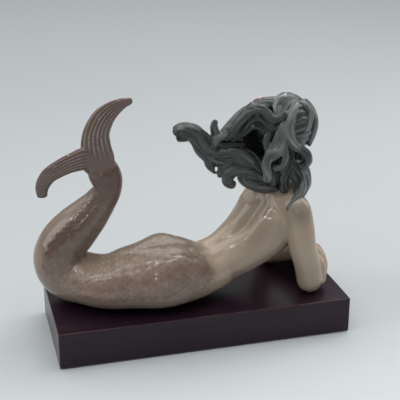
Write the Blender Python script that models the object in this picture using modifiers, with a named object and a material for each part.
"""A glazed porcelain mermaid lying on her elbows on a dark wooden plinth.

The figure is one fired piece: tail, body, arms, head, hair and the flowers in the hair. It rests on a
rectangular plinth of stained and lacquered wood, which has a thin felt sheet under it.
X runs along the plinth from tail to head, Y runs away from the side that shows her back, Z is up, and
Z = 0 is the underside of the felt. Everything is in metres, and heights in the tables below are heights
above the plinth's top.
"""

import math

import bmesh
import bpy
import numpy as np

# Plinth and felt
PLINTH_LENGTH = 0.280
PLINTH_DEPTH = 0.114
PLINTH_HEIGHT = 0.0345
PLINTH_EDGE = 0.0006
FELT_THICKNESS = 0.0012
FELT_INSET = 0.003
FELT_CORNER = 0.002

# Each piece stays this far from the one that it rests on
CLEARANCE = 0.0003
PLINTH_TOP = FELT_THICKNESS + PLINTH_HEIGHT
SEAT = PLINTH_TOP + CLEARANCE

# Half widths and half depths of the body, from the fluke's root to the neck
ROOT_WIDTH, ROOT_DEPTH = 0.0125, 0.0045
STALK_WIDTH, STALK_DEPTH = 0.0145, 0.0120
BEND_WIDTH, BEND_DEPTH = 0.0260, 0.0250
THIGH_WIDTH, THIGH_DEPTH = 0.0310, 0.0245
HIP_WIDTH, HIP_DEPTH = 0.0370, 0.0310
WAIST_WIDTH, WAIST_DEPTH = 0.0270, 0.0215
CHEST_WIDTH, CHEST_DEPTH = 0.0340, 0.0215
NECK_RADIUS = 0.0115

# Head, as half length, half width and half height, and the thickness of hair on it
HEAD_LENGTH, HEAD_WIDTH, HEAD_HEIGHT = 0.0230, 0.0195, 0.0260
HAIR_ON_HEAD = 0.0026
HAIR_BACK = 0.0075
HAIR_UP = 0.0055
NOSE_LENGTH = 0.0052
CHIN_LENGTH = 0.0075
JAW_TAPER = 0.36
HEAD_CENTRE = (0.0975, 0.0020, 0.1560)
FACING = (0.79, 0.60, 0.10)

# Limbs
SHOULDER_RADIUS = 0.0135
ELBOW_RADIUS = 0.0123
WRIST_RADIUS = 0.0080
FINGER_RADIUS = 0.0031
PALM_THICKNESS = 0.0052

# Tail fin and hair
FIN_THICKNESS = 0.0027
FIN_RAYS = 5
FIN_RAY_HEIGHT = 0.0005
LOCK_FLATNESS = 0.62
LOCK_RIDGE = 0.10
PETAL_LENGTH = 0.0072

# Fineness of the fused porcelain
VOXEL = 0.0016
SMOOTH_STEPS = 3
PORCELAIN_TRIANGLES = 11600

# x, y, height, half width, half depth, and the way that the back faces there
BODY = [
    (-0.090, 0.003, 0.138, ROOT_WIDTH, ROOT_DEPTH, 0.1, -1.0, 0.1),
    (-0.0845, 0.004, 0.128, STALK_WIDTH, 0.80 * STALK_DEPTH, 0.1, -1.0, 0.0),
    (-0.081, 0.006, 0.119, STALK_WIDTH, STALK_DEPTH, 0.25, -0.95, 0.0),
    (-0.0812, 0.007, 0.109, 0.92 * STALK_WIDTH, 1.05 * STALK_DEPTH, 0.4, -0.9, -0.05),
    (-0.0877, 0.008, 0.098, 0.58 * BEND_WIDTH, 0.58 * BEND_DEPTH, 0.55, -0.8, -0.2),
    (-0.0977, 0.009, 0.086, 0.72 * BEND_WIDTH, 0.72 * BEND_DEPTH, 0.65, -0.6, -0.35),
    (-0.1115, 0.010, 0.072, 0.85 * BEND_WIDTH, 0.86 * BEND_DEPTH, 0.75, -0.4, -0.45),
    (-0.1243, 0.011, 0.057, 0.89 * BEND_WIDTH, 0.91 * BEND_DEPTH, 0.85, -0.25, -0.3),
    (-0.1277, 0.012, 0.044, 0.97 * BEND_WIDTH, 0.97 * BEND_DEPTH, 0.95, -0.15, 0.2),
    (-0.1248, 0.012, 0.033, 1.02 * BEND_WIDTH, BEND_DEPTH, 0.8, -0.1, 0.6),
    (-0.116, 0.009, 1.04 * BEND_DEPTH, 1.05 * BEND_WIDTH, BEND_DEPTH, 0.5, -0.1, 0.85),
    (-0.103, 0.002, 0.96 * THIGH_DEPTH, 0.95 * THIGH_WIDTH, 0.95 * THIGH_DEPTH, 0.15, -0.1, 1.0),
    (-0.085, -0.009, 0.98 * THIGH_DEPTH, THIGH_WIDTH, THIGH_DEPTH, -0.05, -0.1, 1.0),
    (-0.064, -0.015, 0.91 * HIP_DEPTH, 0.90 * HIP_WIDTH, 0.92 * HIP_DEPTH, 0.0, -0.1, 1.0),
    (-0.041, -0.018, 0.98 * HIP_DEPTH, HIP_WIDTH, HIP_DEPTH, 0.05, -0.1, 1.0),
    (-0.017, -0.015, 0.95 * HIP_DEPTH, 0.96 * HIP_WIDTH, 0.95 * HIP_DEPTH, 0.0, -0.1, 1.0),
    (0.009, -0.009, 0.0285, 1.08 * WAIST_WIDTH, 1.12 * WAIST_DEPTH, -0.1, -0.2, 1.0),
    (0.027, -0.004, 0.0330, WAIST_WIDTH, WAIST_DEPTH, -0.4, -0.35, 0.9),
    (0.0445, -0.001, 0.0420, 0.86 * CHEST_WIDTH, 0.98 * CHEST_DEPTH, -0.55, -0.45, 0.7),
    (0.0590, 0.000, 0.0530, 0.95 * CHEST_WIDTH, 1.02 * CHEST_DEPTH, -0.65, -0.5, 0.6),
    (0.0705, 0.000, 0.0680, CHEST_WIDTH, CHEST_DEPTH, -0.74, -0.5, 0.46),
    (0.0795, 0.000, 0.0830, 0.98 * CHEST_WIDTH, 0.85 * CHEST_DEPTH, -0.78, -0.48, 0.4),
    (0.0840, 0.000, 0.0955, 2.40 * NECK_RADIUS, 1.45 * NECK_RADIUS, -0.85, -0.45, 0.3),
    (0.0865, -0.001, 0.1060, 1.65 * NECK_RADIUS, 1.25 * NECK_RADIUS, -0.9, -0.4, 0.2),
    (0.0880, -0.002, 0.1180, 1.15 * NECK_RADIUS, 1.08 * NECK_RADIUS, -0.9, -0.4, 0.2),
    (0.0900, -0.003, 0.1340, NECK_RADIUS, NECK_RADIUS, -0.9, -0.4, 0.2),
    (0.0930, -0.002, 0.1480, 1.1 * NECK_RADIUS, 1.1 * NECK_RADIUS, -0.9, -0.4, 0.2),
]

# Place along BODY, degrees round from the middle of the back, height, and the two spreads
SWELLINGS = [
    (14.4, 36, 0.0050, 0.75, 25),
    (14.4, -36, 0.0050, 0.75, 25),
    (14.5, 0, -0.0020, 0.9, 10),
    (16.3, 0, -0.0030, 0.8, 34),
    (19.1, 0, -0.0034, 1.9, 9),
    (18.8, 25, 0.0017, 1.6, 12),
    (18.8, -25, 0.0017, 1.6, 12),
    (20.4, 44, 0.0028, 0.6, 15),
    (20.4, -44, 0.0028, 0.6, 15),
    (19.6, 147, 0.0070, 0.7, 26),
    (19.6, 213, 0.0070, 0.7, 26),
]

# x, y, height, half width and half thickness of the tail fin's two lobes
UPPER_LOBE = [
    (-0.083, 0.005, 0.116, 0.0118, 0.0090),
    (-0.0855, 0.004, 0.128, 0.0126, 0.0076),
    (-0.0885, 0.003, 0.139, 0.0148, 0.0054),
    (-0.0908, 0.002, 0.152, 0.0141, 0.0036),
    (-0.0897, 0.000, 0.168, 0.0121, FIN_THICKNESS),
    (-0.0832, 0.001, 0.1795, 0.0105, FIN_THICKNESS),
    (-0.0735, 0.003, 0.187, 0.0077, 0.9 * FIN_THICKNESS),
    (-0.0637, 0.005, 0.191, 0.0048, 0.8 * FIN_THICKNESS),
    (-0.0553, 0.008, 0.192, 0.0027, 0.7 * FIN_THICKNESS),
]
LOWER_LOBE = [
    (-0.083, 0.006, 0.124, 0.0118, 0.0085),
    (-0.090, 0.004, 0.1345, 0.0116, 0.0064),
    (-0.100, 0.001, 0.1428, 0.0113, 0.0040),
    (-0.1115, -0.001, 0.1415, 0.0095, FIN_THICKNESS),
    (-0.1245, -0.002, 0.1370, 0.0082, FIN_THICKNESS),
    (-0.135, -0.002, 0.1307, 0.0074, 0.9 * FIN_THICKNESS),
    (-0.1407, 0.000, 0.1205, 0.0063, 0.8 * FIN_THICKNESS),
    (-0.1410, 0.003, 0.1085, 0.0044, 0.7 * FIN_THICKNESS),
]

# x, y, height and radius
NEAR_UPPER_ARM = [
    (0.0845, -0.015, 0.0900, 0.85 * SHOULDER_RADIUS),
    (0.0910, -0.026, 0.0875, SHOULDER_RADIUS),
    (0.0950, -0.032, 0.069, SHOULDER_RADIUS),
    (0.0985, -0.032, 0.048, 0.98 * SHOULDER_RADIUS),
    (0.1040, -0.032, 0.029, 1.04 * ELBOW_RADIUS),
    (0.1070, -0.032, 0.98 * ELBOW_RADIUS, ELBOW_RADIUS),
]
NEAR_FOREARM = [
    (0.1070, -0.032, 0.98 * ELBOW_RADIUS, ELBOW_RADIUS),
    (0.1140, -0.014, 0.96 * ELBOW_RADIUS, 0.96 * ELBOW_RADIUS),
    (0.1200, 0.006, 0.85 * ELBOW_RADIUS, 0.82 * ELBOW_RADIUS),
    (0.1210, 0.024, 1.05 * WRIST_RADIUS, WRIST_RADIUS),
]
FAR_UPPER_ARM = [
    (0.0765, 0.018, 0.0885, 0.88 * SHOULDER_RADIUS),
    (0.0725, 0.030, 0.0830, 0.98 * SHOULDER_RADIUS),
    (0.075, 0.037, 0.060, 0.96 * SHOULDER_RADIUS),
    (0.085, 0.041, 0.032, ELBOW_RADIUS),
    (0.090, 0.041, 0.98 * ELBOW_RADIUS, ELBOW_RADIUS),
]
FAR_FOREARM = [
    (0.090, 0.041, 0.98 * ELBOW_RADIUS, ELBOW_RADIUS),
    (0.101, 0.028, 0.0180, 0.95 * ELBOW_RADIUS),
    (0.111, 0.010, 0.0260, 0.82 * ELBOW_RADIUS),
    (0.116, -0.004, 0.0320, WRIST_RADIUS),
]
# Wrist, knuckles and fingertip of each finger
FAR_FINGERS = [
    [(0.1160, -0.006, 0.034), (0.1165, -0.020, 0.033), (0.1205, -0.031, 0.022), (0.1160, -0.036, 0.011)],
    [(0.1170, -0.004, 0.035), (0.1195, -0.016, 0.036), (0.1240, -0.027, 0.023), (0.1195, -0.034, 0.009)],
    [(0.1170, -0.002, 0.035), (0.1215, -0.011, 0.036), (0.1265, -0.021, 0.023), (0.1230, -0.029, 0.008)],
    [(0.1170, 0.000, 0.034), (0.1225, -0.005, 0.033), (0.1280, -0.013, 0.022), (0.1260, -0.021, 0.008)],
    [(0.1150, -0.002, 0.032), (0.1085, -0.012, 0.031), (0.1045, -0.018, 0.026)],
]
NEAR_FINGERS = [
    [(0.1210, 0.026, 0.010), (0.1150, 0.037, 0.011), (0.1070, 0.045, 0.010), (0.1000, 0.051, 0.005)],
    [(0.1215, 0.026, 0.010), (0.1195, 0.0385, 0.0115), (0.1135, 0.0475, 0.010), (0.1070, 0.0540, 0.005)],
    [(0.1220, 0.026, 0.010), (0.1240, 0.0385, 0.011), (0.1200, 0.0475, 0.009), (0.1140, 0.0545, 0.004)],
    [(0.1225, 0.025, 0.010), (0.1275, 0.0365, 0.010), (0.1260, 0.0455, 0.008), (0.1210, 0.0525, 0.004)],
    [(0.1205, 0.024, 0.011), (0.1120, 0.030, 0.013), (0.1040, 0.0345, 0.011)],
]
FINGER_TAPER = (1.25, 1.15, 1.0, 0.80)

# x, y, height along each lock of hair, then its half width and how much of that is left at its tip
LOCKS = {
    "crown_flow": (
        [
            (0.087, -0.010, 0.183), (0.076, -0.010, 0.1865), (0.0655, -0.009, 0.186),
            (0.057, -0.009, 0.184), (0.048, -0.009, 0.1795), (0.0405, -0.009, 0.1745),
            (0.033, -0.010, 0.168), (0.026, -0.011, 0.162), (0.020, -0.012, 0.1565),
        ],
        0.0062,
        0.7,
    ),
    "crown_flow_far": (
        [
            (0.092, 0.002, 0.181), (0.076, 0.002, 0.182), (0.060, 0.000, 0.178), (0.045, -0.003, 0.171),
            (0.033, -0.005, 0.162), (0.022, -0.008, 0.154),
        ],
        0.008,
        0.6,
    ),
    "wave_upper": (
        [
            (0.0805, -0.025, 0.1795), (0.074, -0.024, 0.1755), (0.068, -0.024, 0.1745),
            (0.062, -0.023, 0.180), (0.055, -0.021, 0.185), (0.048, -0.019, 0.1825),
            (0.042, -0.018, 0.1765), (0.036, -0.016, 0.169), (0.030, -0.014, 0.161),
            (0.024, -0.013, 0.155),
        ],
        0.0046,
        0.8,
    ),
    "wave_lower": (
        [
            (0.083, -0.024, 0.174), (0.076, -0.023, 0.1665), (0.0685, -0.022, 0.1665),
            (0.062, -0.021, 0.173), (0.055, -0.019, 0.1765), (0.048, -0.017, 0.173),
            (0.043, -0.015, 0.1665), (0.0375, -0.014, 0.160), (0.031, -0.013, 0.154),
        ],
        0.0046,
        0.8,
    ),
    "wave_third": (
        [
            (0.0825, -0.022, 0.164), (0.075, -0.020, 0.1605), (0.0665, -0.018, 0.1625),
            (0.059, -0.016, 0.1665), (0.051, -0.014, 0.1665), (0.0455, -0.013, 0.162),
            (0.039, -0.012, 0.156),
        ],
        0.0044,
        0.7,
    ),
    "hollow_curl": (
        [
            (0.056, -0.004, 0.164), (0.045, -0.009, 0.162), (0.040, -0.011, 0.157), (0.042, -0.011, 0.151),
        ],
        0.0044,
        0.6,
    ),
    "middle_flow": (
        [
            (0.062, -0.014, 0.117), (0.055, -0.017, 0.1255), (0.0485, -0.018, 0.1335),
            (0.0405, -0.018, 0.140), (0.032, -0.017, 0.1425), (0.022, -0.016, 0.142),
            (0.013, -0.015, 0.144), (0.0065, -0.014, 0.150), (0.002, -0.013, 0.158),
            (-0.004, -0.012, 0.1645), (-0.011, -0.012, 0.167), (-0.0175, -0.012, 0.1665),
            (-0.0225, -0.012, 0.1635),
        ],
        0.0058,
        0.85,
    ),
    "middle_top": (
        [
            (0.048, -0.006, 0.145), (0.037, -0.010, 0.1465), (0.0275, -0.011, 0.147),
            (0.0175, -0.011, 0.150), (0.011, -0.011, 0.155), (0.005, -0.010, 0.1615),
            (-0.0015, -0.010, 0.1665), (-0.009, -0.010, 0.169), (-0.017, -0.010, 0.169),
            (-0.022, -0.010, 0.1665),
        ],
        0.0052,
        0.8,
    ),
    "middle_low": (
        [
            (0.0625, -0.013, 0.1105), (0.0525, -0.016, 0.1205), (0.044, -0.017, 0.128),
            (0.0355, -0.016, 0.1325), (0.0265, -0.015, 0.1335), (0.015, -0.014, 0.1355),
            (0.007, -0.013, 0.140), (0.0005, -0.012, 0.147), (-0.0025, -0.011, 0.154),
            (-0.0075, -0.011, 0.159), (-0.0145, -0.011, 0.160), (-0.020, -0.011, 0.160),
        ],
        0.0056,
        0.75,
    ),
    "middle_inner": (
        [
            (0.045, -0.010, 0.131), (0.031, -0.011, 0.137), (0.018, -0.012, 0.139), (0.009, -0.011, 0.144),
            (0.0035, -0.010, 0.151), (-0.001, -0.009, 0.158),
        ],
        0.006,
        0.7,
    ),
    "hanging_point": (
        [
            (0.0375, -0.016, 0.1355), (0.029, -0.016, 0.133), (0.0225, -0.015, 0.127),
            (0.0195, -0.014, 0.119),
        ],
        0.0062,
        0.3,
    ),
    "hanging_edge": (
        [
            (0.0075, -0.013, 0.1415), (0.011, -0.013, 0.1315), (0.0165, -0.013, 0.1225),
        ],
        0.0052,
        0.3,
    ),
    "lower_curl": (
        [
            (0.0715, -0.016, 0.112), (0.059, -0.017, 0.116), (0.049, -0.018, 0.1215),
            (0.0395, -0.019, 0.125), (0.0315, -0.020, 0.1255), (0.0268, -0.020, 0.1218),
            (0.0265, -0.020, 0.1165), (0.030, -0.019, 0.113), (0.035, -0.018, 0.113),
        ],
        0.0062,
        0.9,
    ),
    "lower_sweep": (
        [
            (0.079, -0.015, 0.103), (0.0655, -0.016, 0.1045), (0.0535, -0.017, 0.109),
            (0.0445, -0.017, 0.114), (0.039, -0.016, 0.121),
        ],
        0.0068,
        0.7,
    ),
    "lower_sheet": (
        [
            (0.074, -0.010, 0.115), (0.064, -0.012, 0.124), (0.056, -0.013, 0.131), (0.048, -0.012, 0.138),
            (0.041, -0.010, 0.143),
        ],
        0.0075,
        0.6,
    ),
    "spike": (
        [
            (0.020, -0.012, 0.154), (0.0165, -0.012, 0.162), (0.0155, -0.012, 0.169),
            (0.0175, -0.012, 0.1745),
        ],
        0.0052,
        0.45,
    ),
    "knot": (
        [
            (0.029, -0.014, 0.1625), (0.0225, -0.015, 0.160), (0.017, -0.016, 0.1575),
            (0.015, -0.016, 0.154), (0.015, -0.015, 0.149),
        ],
        0.0044,
        0.7,
    ),
    "top_peak": (
        [
            (0.1045, 0.001, 0.182), (0.0955, -0.002, 0.187), (0.0855, -0.006, 0.1895),
            (0.0775, -0.011, 0.1875), (0.074, -0.016, 0.1815), (0.0745, -0.020, 0.175),
        ],
        0.0054,
        0.7,
    ),
    "front_wave": (
        [
            (0.0945, -0.002, 0.184), (0.102, -0.003, 0.183), (0.1075, -0.005, 0.180),
            (0.106, -0.009, 0.177), (0.0985, -0.013, 0.178), (0.0915, -0.016, 0.1765),
        ],
        0.0052,
        0.7,
    ),
    "right_centre": (
        [
            (0.094, -0.013, 0.1855), (0.0885, -0.020, 0.179), (0.084, -0.025, 0.1725),
            (0.0825, -0.027, 0.1645), (0.085, -0.026, 0.1555), (0.090, -0.024, 0.1475),
            (0.096, -0.023, 0.1425),
        ],
        0.0054,
        0.8,
    ),
    "right_loop": (
        [
            (0.099, -0.008, 0.185), (0.104, -0.013, 0.1815), (0.1065, -0.015, 0.1745),
            (0.104, -0.018, 0.167), (0.0995, -0.020, 0.160), (0.095, -0.021, 0.154),
            (0.0925, -0.021, 0.1475),
        ],
        0.0052,
        0.6,
    ),
    "right_edge": (
        [
            (0.1045, -0.004, 0.185), (0.1095, -0.005, 0.1795), (0.1135, -0.007, 0.1715),
            (0.115, -0.009, 0.163), (0.1135, -0.011, 0.156), (0.1105, -0.013, 0.149),
            (0.107, -0.014, 0.142),
        ],
        0.0050,
        0.6,
    ),
    "s_curl": (
        [
            (0.090, -0.022, 0.147), (0.0975, -0.023, 0.142), (0.103, -0.023, 0.136),
            (0.104, -0.023, 0.1295), (0.1005, -0.022, 0.126), (0.0965, -0.021, 0.128),
        ],
        0.0050,
        0.8,
    ),
    "curl_back": (
        [
            (0.097, -0.010, 0.146), (0.100, -0.012, 0.132), (0.1005, -0.014, 0.119),
            (0.099, -0.017, 0.107),
        ],
        0.0078,
        0.6,
    ),
    "right_fall": (
        [
            (0.099, -0.020, 0.1265), (0.1025, -0.022, 0.118), (0.102, -0.025, 0.109),
            (0.0965, -0.028, 0.1015), (0.089, -0.031, 0.096), (0.0835, -0.033, 0.092),
            (0.081, -0.034, 0.087),
        ],
        0.0068,
        0.3,
    ),
    "inner_fall": (
        [
            (0.091, -0.018, 0.132), (0.094, -0.021, 0.1205), (0.095, -0.024, 0.1095),
            (0.0905, -0.027, 0.101),
        ],
        0.0074,
        0.5,
    ),
    "nape_centre": (
        [
            (0.085, -0.018, 0.146), (0.084, -0.020, 0.133), (0.0835, -0.020, 0.120),
            (0.082, -0.021, 0.1085), (0.0805, -0.023, 0.1005),
        ],
        0.0084,
        0.6,
    ),
    "nape_left": (
        [
            (0.077, -0.012, 0.145), (0.076, -0.014, 0.130), (0.074, -0.016, 0.117),
            (0.0715, -0.017, 0.1055),
        ],
        0.0080,
        0.7,
    ),
    "hanging_centre": (
        [
            (0.085, -0.014, 0.181), (0.081, -0.021, 0.174), (0.077, -0.025, 0.165),
            (0.075, -0.027, 0.1555), (0.0735, -0.028, 0.147), (0.0685, -0.029, 0.142),
            (0.062, -0.030, 0.1395), (0.060, -0.030, 0.1335), (0.0615, -0.030, 0.1245),
            (0.0625, -0.029, 0.115),
        ],
        0.0054,
        0.75,
    ),
    "hanging_side": (
        [
            (0.079, -0.022, 0.169), (0.0735, -0.025, 0.1605), (0.0695, -0.026, 0.1515),
            (0.0645, -0.027, 0.145), (0.059, -0.028, 0.142),
        ],
        0.0042,
        0.6,
    ),
    "hanging_ring": (
        [
            (0.079, -0.025, 0.155), (0.0785, -0.028, 0.144), (0.0785, -0.029, 0.1365),
            (0.076, -0.029, 0.130), (0.0705, -0.028, 0.128), (0.067, -0.028, 0.1315),
        ],
        0.004,
        0.8,
    ),
    "hollow_strand": (
        [
            (0.069, -0.020, 0.164), (0.064, -0.021, 0.158), (0.0625, -0.022, 0.1505),
            (0.0645, -0.023, 0.144), (0.069, -0.024, 0.1385),
        ],
        0.0038,
        0.8,
    ),
    "crown_back": (
        [
            (0.092, -0.006, 0.182), (0.090, -0.015, 0.176), (0.085, -0.020, 0.1665),
            (0.0815, -0.022, 0.156), (0.0805, -0.022, 0.145),
        ],
        0.008,
        0.6,
    ),
    "far_brow": (
        [
            (0.106, 0.006, 0.178), (0.095, 0.018, 0.177), (0.078, 0.023, 0.172), (0.060, 0.020, 0.166),
            (0.042, 0.011, 0.160), (0.028, 0.003, 0.155),
        ],
        0.0082,
        0.5,
    ),
    "far_temple": (
        [
            (0.108, 0.017, 0.169), (0.096, 0.027, 0.165), (0.080, 0.030, 0.158), (0.062, 0.026, 0.151),
            (0.044, 0.016, 0.148), (0.026, 0.004, 0.149), (0.010, -0.004, 0.154), (-0.002, -0.007, 0.162),
        ],
        0.0082,
        0.4,
    ),
    "far_ear": (
        [
            (0.101, 0.026, 0.158), (0.092, 0.030, 0.151), (0.078, 0.031, 0.142), (0.062, 0.026, 0.135),
            (0.046, 0.014, 0.133), (0.030, 0.002, 0.137), (0.016, -0.006, 0.143),
        ],
        0.0082,
        0.4,
    ),
    "far_fall": (
        [
            (0.098, 0.025, 0.150), (0.093, 0.030, 0.137), (0.086, 0.031, 0.122), (0.078, 0.031, 0.109),
            (0.071, 0.033, 0.098), (0.068, 0.037, 0.089),
        ],
        0.0078,
        0.35,
    ),
    "far_sweep": (
        [
            (0.096, 0.022, 0.142), (0.086, 0.026, 0.128), (0.074, 0.024, 0.116), (0.062, 0.017, 0.110),
            (0.050, 0.005, 0.112), (0.040, -0.006, 0.119),
        ],
        0.0082,
        0.5,
    ),
}
LOCK_TAPER = (0.70, 1.0, 1.0)
# x, y, height, half height and half thickness of the sheet of hair behind the hollow
HAIR_WALL = [
    (0.093, 0.004, 0.154, 0.0240, 0.0170),
    (0.080, 0.008, 0.150, 0.0250, 0.0110),
    (0.066, 0.010, 0.146, 0.0250, 0.0070),
    (0.050, 0.006, 0.141, 0.0200, 0.0060),
    (0.034, -0.002, 0.138, 0.0110, 0.0050),
]
# Centre of each flower and the way that it faces
FLOWERS = [
    ((0.066, 0.016, 0.1765), (-0.1, 0.80, 0.60)),
    ((0.080, 0.028, 0.1710), (0.1, 0.90, 0.40)),
    ((0.069, 0.031, 0.1590), (-0.1, 0.98, 0.15)),
]
PETALS = 5


def unit(vector):
    """The vector at length one."""
    return np.asarray(vector, float) / np.linalg.norm(vector)


def along(rows, places):
    """Each column of rows read at places, which run from 0 to 1 along the path through their points.

    The curve goes through every row, with its slope taken from the rows on either side."""
    rows = np.asarray(rows, float)
    steps = np.linalg.norm(np.diff(rows[:, :3], axis=0), axis=1)
    knots = np.concatenate([[0.0], np.cumsum(steps)]) / steps.sum()
    slopes = np.gradient(rows, knots, axis=0)
    index = np.clip(np.searchsorted(knots, places, side="right") - 1, 0, len(rows) - 2)
    span = (knots[index + 1] - knots[index])[:, None]
    t = ((places - knots[index]) / span[:, 0])[:, None]
    return (
        (2 * t**3 - 3 * t**2 + 1) * rows[index]
        + (t**3 - 2 * t**2 + t) * span * slopes[index]
        + (3 * t**2 - 2 * t**3) * rows[index + 1]
        + (t**3 - t**2) * span * slopes[index + 1]
    )


def station_numbers(rows, places):
    """How far along the list of rows each place lies, as 14.5 for half way from row 14 to row 15."""
    points = np.asarray(rows, float)[:, :3]
    steps = np.linalg.norm(np.diff(points, axis=0), axis=1)
    knots = np.concatenate([[0.0], np.cumsum(steps)]) / steps.sum()
    return np.interp(places, knots, np.arange(len(points)))


def loft(name, rows, rings, sides, swell=None):
    """A closed form through rows of x, y, height, half width, half depth and a hint of its back's direction.

    swell(stations, angles) may return how far each point of a ring moves outwards."""
    places = 0.5 - 0.5 * np.cos(np.pi * np.linspace(0, 1, rings))
    values = along(rows, places)
    centres, widths, depths, hints = values[:, :3], values[:, 3], values[:, 4], values[:, 5:8]
    tangents = np.gradient(centres, axis=0)
    tangents /= np.linalg.norm(tangents, axis=1)[:, None]
    backs = hints - (hints * tangents).sum(1)[:, None] * tangents
    backs /= np.linalg.norm(backs, axis=1)[:, None]
    flanks = np.cross(tangents, backs)
    travelled = np.concatenate([[0.0], np.cumsum(np.linalg.norm(np.diff(centres, axis=0), axis=1))])
    from_end = np.minimum(travelled, travelled[-1] - travelled)
    reach = np.minimum(np.minimum(widths, depths), travelled[-1] / 2)
    closing = np.sqrt(np.clip(1 - np.clip(1 - from_end / reach, 0, 1) ** 2, 0, 1))

    angles = np.linspace(0, 2 * np.pi, sides + 1)
    outward = np.zeros((rings, sides + 1))
    if swell:
        outward = swell(station_numbers(rows, places)[:, None], angles[None, :])
    rim = (closing[:, None] * (widths[:, None] + outward) * np.sin(angles))[..., None]
    crest = (closing[:, None] * (depths[:, None] + outward) * np.cos(angles))[..., None]
    points = centres[:, None] + rim * flanks[:, None] + crest * backs[:, None]
    return bent_grid(name, points)


def bent_grid(name, points):
    """A grid with its corners moved to points[ring, side], and the seam and the ends closed."""
    rings, sides = points.shape[:2]
    bm = bmesh.new()
    bmesh.ops.create_grid(bm, x_segments=sides - 1, y_segments=rings - 1, size=1.0)
    for vert in bm.verts:
        side = round((vert.co.x + 1) / 2 * (sides - 1))
        ring = round((vert.co.y + 1) / 2 * (rings - 1))
        vert.co = points[ring, side]
        vert.co.z += SEAT
    bmesh.ops.remove_doubles(bm, verts=bm.verts, dist=1e-6)
    bmesh.ops.recalc_face_normals(bm, faces=bm.faces)
    mesh = bpy.data.meshes.new(name)
    bm.to_mesh(mesh)
    bm.free()
    return bpy.data.objects.new(name, mesh)


def body_swell(stations, angles):
    """Buttocks, hollow of the back, spine, shoulder blades and chest."""
    outward = 0.0
    for place, degrees, height, length, spread in SWELLINGS:
        turn = np.degrees(angles) - degrees
        turn = (turn + 180) % 360 - 180
        outward = outward + height * np.exp(-(((stations - place) / length) ** 2) - (turn / spread) ** 2)
    return outward


def fin_swell(stations, angles):
    """Rays that run along a lobe of the tail fin."""
    return FIN_RAY_HEIGHT * np.cos(2 * FIN_RAYS * np.sin(angles)) * np.ones_like(stations)


def make_body():
    """Tail, hips, torso and neck in one form."""
    return loft("body_form", BODY, rings=150, sides=56, swell=body_swell)


def make_fin():
    """The two lobes of the tail fin."""
    facing = (0.0, -1.0, 0.0)
    upper = [(*row, *facing) for row in UPPER_LOBE]
    lower = [(*row, *facing) for row in LOWER_LOBE]
    return [
        loft("upper_lobe", upper, rings=40, sides=32, swell=fin_swell),
        loft("lower_lobe", lower, rings=40, sides=32, swell=fin_swell),
    ]


def make_limb(name, rows, hint=(0.2, 1.0, 0.1)):
    """A round limb through rows of x, y, height and radius, with a round end past the first and the last."""
    rows = np.array(rows)
    before, after = rows[0].copy(), rows[-1].copy()
    before[:3] -= unit(rows[1, :3] - rows[0, :3]) * rows[0, 3]
    after[:3] += unit(rows[-1, :3] - rows[-2, :3]) * rows[-1, 3]
    rows = [before, *rows, after]
    return loft(name, [(*row, row[3], *hint) for row in rows], rings=36, sides=20)


def make_hand(name, fingers, palm_back):
    """A palm through the knuckles, with its fingers."""
    made = []
    for number, joints in enumerate(fingers):
        taper = FINGER_TAPER[-len(joints):]
        rows = [(*joint, FINGER_RADIUS * size) for joint, size in zip(joints, taper)]
        made.append(make_limb(f"{name}_finger_{number}", rows))
    wrist = np.mean([finger[0] for finger in fingers[:4]], axis=0)
    knuckles = np.mean([finger[1] for finger in fingers[:4]], axis=0)
    spread = np.linalg.norm(np.subtract(fingers[0][1], fingers[3][1])) / 2 + FINGER_RADIUS
    past = wrist + 1.15 * (knuckles - wrist)
    palm = [
        (*wrist, WRIST_RADIUS, PALM_THICKNESS, *palm_back),
        (*(wrist + knuckles) / 2, 0.5 * (WRIST_RADIUS + spread), PALM_THICKNESS, *palm_back),
        (*past, 0.95 * spread, 0.8 * PALM_THICKNESS, *palm_back),
    ]
    made.append(loft(f"{name}_palm", palm, rings=20, sides=24))
    return made


def make_arms():
    """Both arms, folded on the plinth in front of her."""
    return [
        make_limb("near_upper_arm", NEAR_UPPER_ARM),
        make_limb("near_forearm", NEAR_FOREARM, hint=(0.1, 0.0, 1.0)),
        make_limb("far_upper_arm", FAR_UPPER_ARM),
        make_limb("far_forearm", FAR_FOREARM, hint=(0.1, 0.0, 1.0)),
        *make_hand("far_hand", FAR_FINGERS, (0.5, 0.0, 1.0)),
        *make_hand("near_hand", NEAR_FINGERS, (0.3, 0.0, 1.0)),
    ]


def head_axes():
    """Forward, left and up of the head."""
    forward = unit(FACING)
    left = unit(np.cross((0, 0, 1), forward))
    return forward, left, np.cross(forward, left)


def make_ball(name, centre, half_sizes, shape=None, fineness=28):
    """A sphere turned to the head's axes, stretched to half_sizes and moulded by shape(direction)."""
    axes = np.array(head_axes())
    bm = bmesh.new()
    bmesh.ops.create_uvsphere(bm, u_segments=fineness, v_segments=fineness // 2, radius=1.0)
    for vert in bm.verts:
        direction = np.array(vert.co)
        push = shape(direction) if shape else 0.0
        vert.co = np.asarray(centre) + (direction * np.asarray(half_sizes) + push) @ axes
        vert.co.z += SEAT
    mesh = bpy.data.meshes.new(name)
    bm.to_mesh(mesh)
    bm.free()
    return bpy.data.objects.new(name, mesh)


def bump(direction, towards, spread):
    """A soft hill of height one round a direction."""
    return math.exp(-(np.linalg.norm(direction - unit(towards)) / spread) ** 2)


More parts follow.
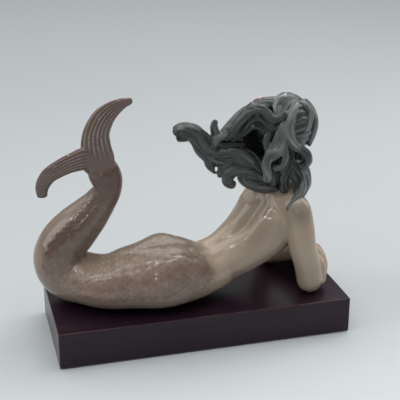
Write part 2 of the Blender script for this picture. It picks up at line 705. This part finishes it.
def face_shape(direction):
    """Jaw, chin, nose, lips, brow and eye hollows, as a move along the head's axes."""
    low = max(0.0, -direction[2])
    back = max(0.0, -direction[0])
    chin = CHIN_LENGTH * bump(direction, (0.66, 0.0, -0.75), 0.34)
    forward = (
        NOSE_LENGTH * bump(direction, (1.0, 0.0, -0.20), 0.13)
        + 0.45 * NOSE_LENGTH * bump(direction, (1.0, 0.0, 0.02), 0.13)
        + 0.50 * NOSE_LENGTH * bump(direction, (0.88, 0.0, -0.50), 0.16)
        - 0.50 * NOSE_LENGTH * bump(direction, (1.0, 0.36, 0.02), 0.16)
        - 0.50 * NOSE_LENGTH * bump(direction, (1.0, -0.36, 0.02), 0.16)
        + 0.75 * HEAD_LENGTH * low * back
    )
    narrow = -JAW_TAPER * HEAD_WIDTH * low**1.5 * direction[1]
    return np.array([forward + chin, narrow, -0.55 * chin])


def make_head():
    """The head and the cap of hair on it."""
    sizes = np.array([HEAD_LENGTH, HEAD_WIDTH, HEAD_HEIGHT])
    forward, _, up = head_axes()
    cap_centre = np.array(HEAD_CENTRE) - HAIR_BACK * forward + HAIR_UP * up
    return [
        make_ball("head_form", HEAD_CENTRE, sizes, face_shape, fineness=40),
        make_ball("hair_cap", cap_centre, sizes + HAIR_ON_HEAD, fineness=40),
    ]


def lock_swell(half_width):
    """Ridges that run along a lock of hair, for a lock of that half width."""
    return lambda stations, angles: LOCK_RIDGE * half_width * np.cos(5 * angles) * np.ones_like(stations)


def make_lock(name, points, half_width, tip):
    """One lock of hair, flattened against the head's middle."""
    points = np.asarray(points)
    shares = (*LOCK_TAPER, 0.5 + 0.5 * tip, tip)
    tapers = np.interp(np.linspace(0, 1, len(points)), np.linspace(0, 1, len(shares)), shares)
    rows = []
    for point, taper in zip(points, tapers):
        away = unit(point - np.array([HEAD_CENTRE[0] - 0.03, HEAD_CENTRE[1], HEAD_CENTRE[2] - 0.01]))
        width = half_width * taper
        rows.append((*point, width, LOCK_FLATNESS * width, away[0], 2.5 * away[1], away[2]))
    return loft(name, rows, rings=36, sides=20, swell=lock_swell(half_width))


def make_hair():
    """The sheet of hair behind the hollow and every lock."""
    wall = [(*row, 0.0, -1.0, 0.0) for row in HAIR_WALL]
    return [
        loft("hair_wall", wall, rings=30, sides=28),
        *[make_lock(name, *lock) for name, lock in LOCKS.items()],
    ]


def make_flower(name, centre, facing):
    """A flower of PETALS round petals about a small heart."""
    facing = unit(facing)
    side = unit(np.cross(facing, (0.0, 0.0, 1.0)))
    up = np.cross(side, facing)
    centre = np.asarray(centre)
    made = []
    for petal in range(PETALS):
        turn = 2 * math.pi * petal / PETALS
        out = math.cos(turn) * side + math.sin(turn) * up
        rows = [
            (*(centre - 0.0015 * facing), 0.0020, 0.0016, *facing),
            (*(centre + 0.55 * PETAL_LENGTH * out), 0.0036, 0.0013, *facing),
            (*(centre + PETAL_LENGTH * out + 0.0018 * facing), 0.0026, 0.0011, *facing),
        ]
        made.append(loft(f"{name}_petal_{petal}", rows, rings=14, sides=14))
    heart = [
        (*(centre - 0.004 * facing), 0.0028, 0.0028, *side),
        (*(centre + 0.0022 * facing), 0.0022, 0.0022, *side),
    ]
    made.append(loft(f"{name}_heart", heart, rings=12, sides=12))
    return made


def make_flowers():
    """The flowers in the hair, on the side of the face."""
    made = []
    for number, (centre, facing) in enumerate(FLOWERS):
        made += make_flower(f"flower_{number}", centre, facing)
    return made


def joined(name, forms):
    """One object that holds the meshes of all the forms, which are removed."""
    bm = bmesh.new()
    for form in forms:
        bm.from_mesh(form.data)
        bpy.data.objects.remove(form)
    mesh = bpy.data.meshes.new(name)
    bm.to_mesh(mesh)
    bm.free()
    return bpy.data.objects.new(name, mesh)


def applied(obj):
    """The object with its modifiers made part of its mesh."""
    bpy.context.view_layer.update()
    graph = bpy.context.evaluated_depsgraph_get()
    mesh = bpy.data.meshes.new_from_object(obj.evaluated_get(graph))
    obj.modifiers.clear()
    obj.data = mesh
    return obj


def keep_outer_shell(bm):
    """Deletes every separate shell but the largest, such as a bubble between locks."""
    left = set(bm.verts)
    shells = []
    while left:
        shell, edge = set(), [left.pop()]
        while edge:
            vert = edge.pop()
            shell.add(vert)
            near = {link.other_vert(vert) for link in vert.link_edges} & left
            left -= near
            edge += near
        shells.append(shell)
    shells.sort(key=len)
    for shell in shells[:-1]:
        bmesh.ops.delete(bm, geom=list(shell), context="VERTS")


def settle(obj):
    """Flattens what would reach under the seat, and drops loose shells."""
    bm = bmesh.new()
    bm.from_mesh(obj.data)
    keep_outer_shell(bm)
    for vert in bm.verts:
        vert.co.z = max(vert.co.z, SEAT)
    bm.to_mesh(obj.data)
    bm.free()


def make_mermaid(collection):
    """The whole figure as one fired piece."""
    forms = [make_body(), *make_fin(), *make_arms(), *make_head(), *make_hair(), *make_flowers()]
    figure = joined("mermaid", forms)
    collection.objects.link(figure)
    remesh = figure.modifiers.new("fuse", "REMESH")
    remesh.mode = "VOXEL"
    remesh.voxel_size = VOXEL
    smooth = figure.modifiers.new("glaze", "SMOOTH")
    smooth.factor = 0.5
    smooth.iterations = SMOOTH_STEPS
    applied(figure)
    settle(figure)
    triangles = sum(len(face.vertices) - 2 for face in figure.data.polygons)
    decimate = figure.modifiers.new("lighten", "DECIMATE")
    decimate.ratio = min(1.0, PORCELAIN_TRIANGLES / triangles)
    decimate.use_collapse_triangulate = True
    applied(figure)
    settle(figure)
    figure.data.shade_smooth()
    return figure


def box(name, collection, size, bottom, bevel, segments):
    """A block centred on the Z axis with its edges rounded."""
    bpy.ops.mesh.primitive_cube_add(size=1.0, location=(0, 0, bottom + size[2] / 2))
    obj = bpy.context.object
    obj.name = name
    obj.scale = size
    bpy.ops.object.transform_apply(location=False, rotation=False, scale=True)
    for other in list(obj.users_collection):
        other.objects.unlink(obj)
    collection.objects.link(obj)
    rounding = obj.modifiers.new("edges", "BEVEL")
    rounding.width = bevel
    rounding.segments = segments
    rounding.limit_method = "ANGLE"
    return obj


def make_plinth(collection):
    """The lacquered wooden block."""
    size = (PLINTH_LENGTH, PLINTH_DEPTH, PLINTH_HEIGHT)
    return box("plinth", collection, size, FELT_THICKNESS, PLINTH_EDGE, 2)


def make_felt(collection):
    """The felt sheet under the plinth, its corners cut round."""
    half_length = PLINTH_LENGTH / 2 - FELT_INSET
    half_depth = PLINTH_DEPTH / 2 - FELT_INSET
    curve = bpy.data.curves.new("felt_sheet", "CURVE")
    curve.dimensions = "2D"
    curve.fill_mode = "BOTH"
    curve.extrude = (FELT_THICKNESS - CLEARANCE) / 2
    outline = curve.splines.new("POLY")
    corners = []
    for quarter, (sign_x, sign_y) in enumerate([(1, 1), (-1, 1), (-1, -1), (1, -1)]):
        for step in range(5):
            turn = math.pi / 2 * (quarter + step / 4)
            x = sign_x * (half_length - FELT_CORNER) + FELT_CORNER * math.cos(turn)
            y = sign_y * (half_depth - FELT_CORNER) + FELT_CORNER * math.sin(turn)
            corners.append((x, y))
    outline.points.add(len(corners) - 1)
    for point, (x, y) in zip(outline.points, corners):
        point.co = (x, y, 0, 1)
    outline.use_cyclic_u = True
    obj = bpy.data.objects.new("felt_sheet", curve)
    obj.location.z = curve.extrude
    collection.objects.link(obj)
    return obj


def paint(obj, name, colour, roughness):
    """One plain material on the object."""
    material = bpy.data.materials.new(name)
    material.use_nodes = True
    shader = material.node_tree.nodes["Principled BSDF"]
    shader.inputs["Base Color"].default_value = (*colour, 1.0)
    shader.inputs["Roughness"].default_value = roughness
    shader.inputs["Metallic"].default_value = 0.0
    obj.data.materials.clear()
    obj.data.materials.append(material)


def main():
    for obj in list(bpy.data.objects):
        bpy.data.objects.remove(obj)
    collection = bpy.data.collections.new("mermaid_figurine")
    bpy.context.scene.collection.children.link(collection)
    paint(make_mermaid(collection), "glazed_porcelain", (0.55, 0.48, 0.42), 0.15)
    paint(make_plinth(collection), "lacquered_wood", (0.045, 0.015, 0.025), 0.30)
    paint(make_felt(collection), "felt", (0.03, 0.03, 0.03), 0.95)


main()
